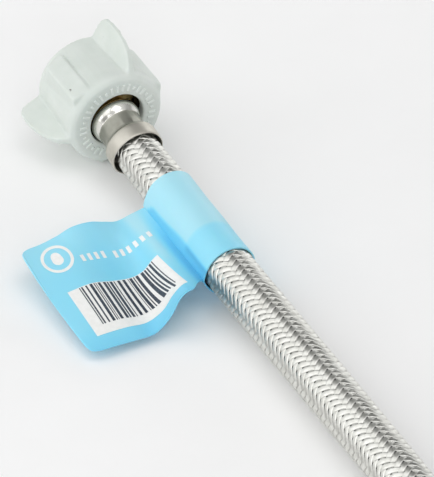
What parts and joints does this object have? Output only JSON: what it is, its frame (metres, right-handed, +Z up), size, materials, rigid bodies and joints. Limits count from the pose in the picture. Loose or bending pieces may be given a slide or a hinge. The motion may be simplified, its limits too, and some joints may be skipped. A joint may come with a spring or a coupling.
{
  "type": "braided supply line",
  "caption": "Flexible braided water supply line with a plastic wing nut, crimped ferrules, a hex nut and a wrap-around label.",
  "frame": {"origin": "middle of the footprint of the fittings and the label, on the surface that the line lies on", "axes": "+X along the line from the wing nut to the hex nut, +Z up from the surface; the label's flag points to -Y"},
  "size_m": [0.3048, 0.0612, 0.0343],
  "materials": {
    "nut_plastic": "satin moulded",
    "seal_rubber": "matt",
    "stem_brass": "machined",
    "ferrule_steel": "polished bead, satin barrel",
    "braid_wire": "bright drawn wire",
    "yarn": "matt dark fibre",
    "tube_polymer": "smooth",
    "nickel_plate": "bright plated",
    "label_film": "satin printed film"
  },
  "bodies": {
    "hose_line": {"ballcock_stem": "stem_brass", "cone_washer": "seal_rubber", "ferrule_a": "ferrule_steel", "ferrule_b": "ferrule_steel", "inner_tube": "tube_polymer", "yarn_layer": "yarn", "braid_sleeve": "braid_wire", "compression_stem": "stem_brass", "compression_washer": "seal_rubber", "label_loop": "label_film"},
    "stem_ring": {"slip_ring": "stem_brass"},
    "wing_nut": {"ballcock_nut": "nut_plastic"},
    "hex_nut": {"compression_nut": "nickel_plate"},
    "label_wing": {"label_flag": "label_film"}
  },
  "joints": [
    {"name": "wing_nut_play", "type": "slide", "parent": "hose_line", "child": "stem_ring", "axis": [1, 0, 0], "range_m": [0, 0.0055]},
    {"name": "wing_nut_spin", "type": "hinge", "parent": "stem_ring", "child": "wing_nut", "pos_m": [-0.1413, 0.01605, 0.01523], "axis": [1, 0, 0], "continuous": true},
    {"name": "hex_nut_spin", "type": "hinge", "parent": "hose_line", "child": "hex_nut", "pos_m": [0.1454, 0.01565, 0.00795], "axis": [1, 0, 0], "continuous": true},
    {"name": "label_fold", "type": "hinge", "parent": "hose_line", "child": "label_wing", "pos_m": [-0.0817, 0.00765, 0.00971], "axis": [-0.9992, 0, 0.04], "range_deg": [-4, 48]}
  ]
}
